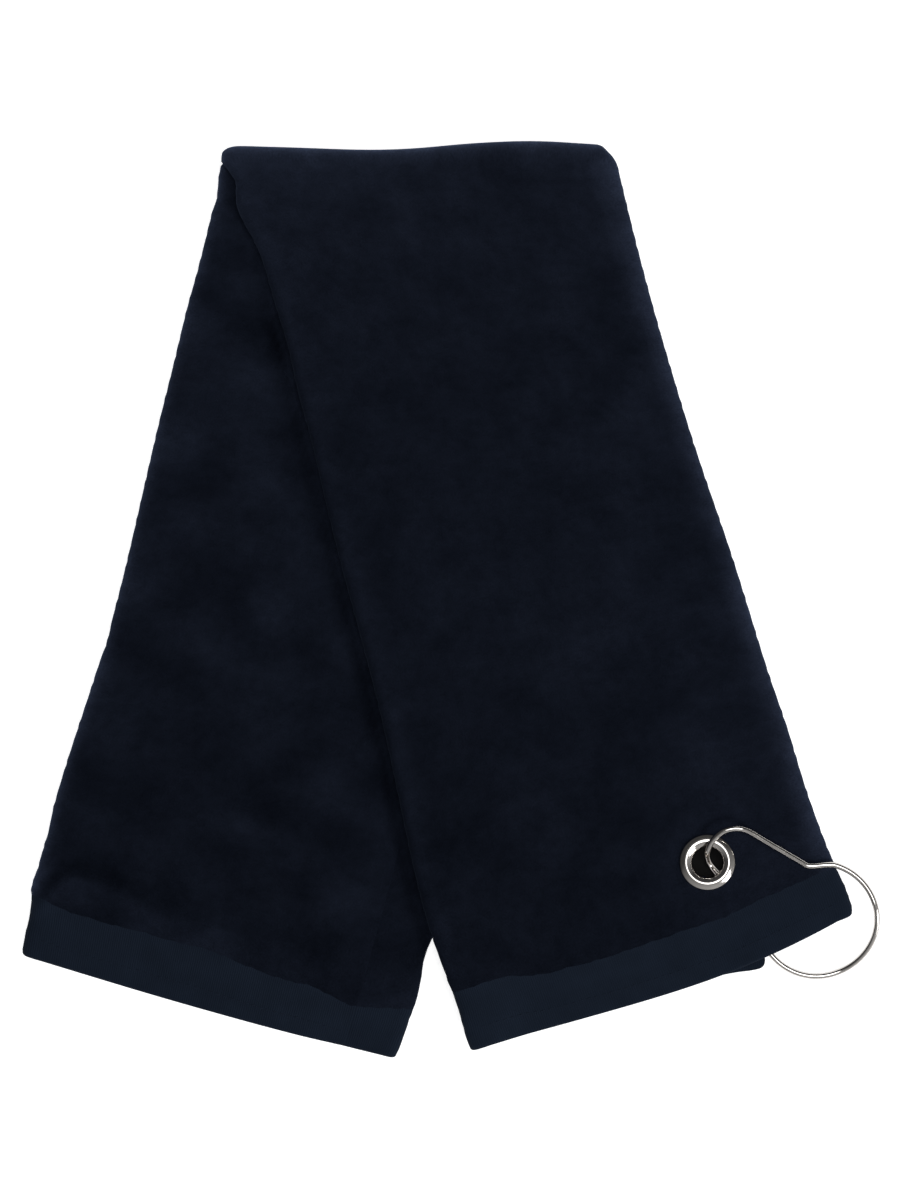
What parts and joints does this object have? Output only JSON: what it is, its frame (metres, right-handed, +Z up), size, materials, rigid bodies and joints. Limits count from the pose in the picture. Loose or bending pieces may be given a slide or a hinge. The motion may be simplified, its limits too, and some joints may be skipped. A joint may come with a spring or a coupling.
{
  "type": "golf towel",
  "caption": "Tri-fold golf towel lying flat, folded crosswise into two crossing legs, with flat-woven hem bands, a corner grommet and a wire hook through it.",
  "frame": {"origin": "on the table, under the rear leg, in the middle of the towel's outline seen from above", "axes": "+Y from the hems towards the crosswise fold, +Z up out of the table, +X towards the hook"},
  "size_m": [0.3, 0.3205, 0.013],
  "materials": {
    "velour": "matte",
    "dobby_border": "matte",
    "thread": "satin",
    "nickel": "polished"
  },
  "bodies": {
    "rear_leg": {"rear_leg_cloth": "velour", "rear_hem_band": "dobby_border", "rear_hem_stitching": "thread", "crosswise_fold": "velour"},
    "front_leg": {"front_leg_cloth": "velour", "front_hem_band": "dobby_border", "front_hem_stitching": "thread", "grommet_eyelet": "nickel", "grommet_washer": "nickel"},
    "hook": {"wire_hook": "nickel"}
  },
  "joints": [
    {"name": "top_fold", "type": "hinge", "parent": "rear_leg", "child": "front_leg", "pos_m": [-0.0103, 0.1525, 0.0065], "axis": [-1, 0, 0], "range_deg": [0, 180], "deforming": ["crosswise_fold"]},
    {"name": "hook_swivel", "type": "hinge", "parent": "front_leg", "child": "hook", "pos_m": [0.0901, -0.0918, 0.006], "axis": [0, 0, 1], "range_deg": [-60, 60]}
  ]
}
